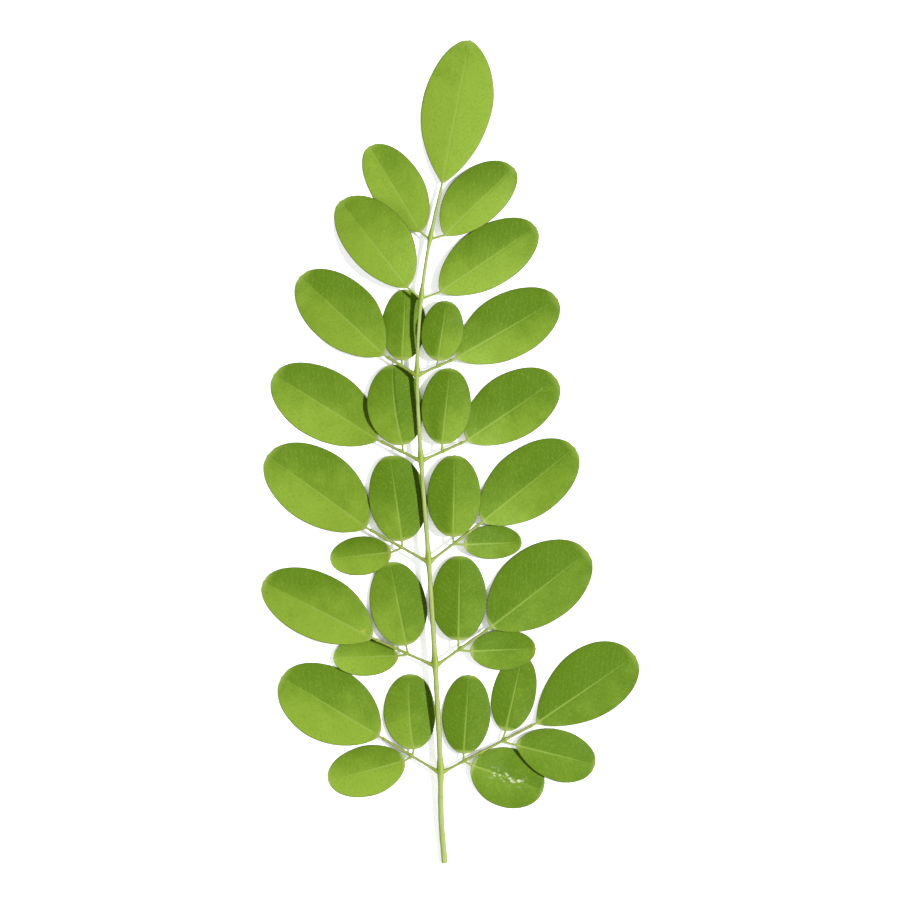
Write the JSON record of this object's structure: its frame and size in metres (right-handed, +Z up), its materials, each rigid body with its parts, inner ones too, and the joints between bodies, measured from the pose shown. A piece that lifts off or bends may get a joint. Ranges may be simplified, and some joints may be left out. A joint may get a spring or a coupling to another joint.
{
  "type": "moringa leaf",
  "caption": "Cut branch of a moringa leaf lying flat, a slender stem with paired side stalks that carry oval green leaflets and one longer leaflet at the tip.",
  "frame": {"origin": "on the surface the leaf lies on, under the middle of its outline", "axes": "+Y from the cut end of the rachis toward the tip leaflet, +X to the right as seen from above, +Z up out of the leaf's upper side"},
  "size_m": [0.0642, 0.1399, 0.003],
  "materials": {
    "leaflet": "satin",
    "stalk": "satin",
    "rachis": "satin"
  },
  "bodies": {
    "root": {"rachis": "rachis", "stalk_left_3": "stalk", "stalk_right_3": "stalk", "stalk_left_4": "stalk", "stalk_right_4": "stalk", "stalk_left_5": "stalk", "stalk_right_5": "stalk", "stalk_left_6": "stalk", "stalk_right_6": "stalk", "stalk_left_7": "stalk", "stalk_right_7": "stalk", "leaflet_tip": "leaflet", "leaflet_left_1": "leaflet", "leaflet_right_1": "leaflet", "leaflet_left_2": "leaflet", "leaflet_right_2": "leaflet", "leaflet_left_3_end": "leaflet", "leaflet_left_3_inner": "leaflet", "leaflet_right_3_end": "leaflet", "leaflet_right_3_inner": "leaflet", "leaflet_left_4_end": "leaflet", "leaflet_left_4_inner": "leaflet", "leaflet_right_4_end": "leaflet", "leaflet_right_4_inner": "leaflet", "leaflet_left_5_end": "leaflet", "leaflet_left_5_inner": "leaflet", "leaflet_left_5_lower": "leaflet", "leaflet_right_5_end": "leaflet", "leaflet_right_5_inner": "leaflet", "leaflet_right_5_lower": "leaflet", "leaflet_left_6_end": "leaflet", "leaflet_left_6_inner": "leaflet", "leaflet_left_6_lower": "leaflet", "leaflet_right_6_end": "leaflet", "leaflet_right_6_inner": "leaflet", "leaflet_right_6_lower": "leaflet", "leaflet_left_7_end": "leaflet", "leaflet_left_7_inner": "leaflet", "leaflet_left_7_lower": "leaflet", "leaflet_right_7_end": "leaflet", "leaflet_right_7_inner_a": "leaflet", "leaflet_right_7_inner_b": "leaflet", "leaflet_right_7_lower_a": "leaflet", "leaflet_right_7_lower_b": "leaflet"}
  },
  "joints": []
}
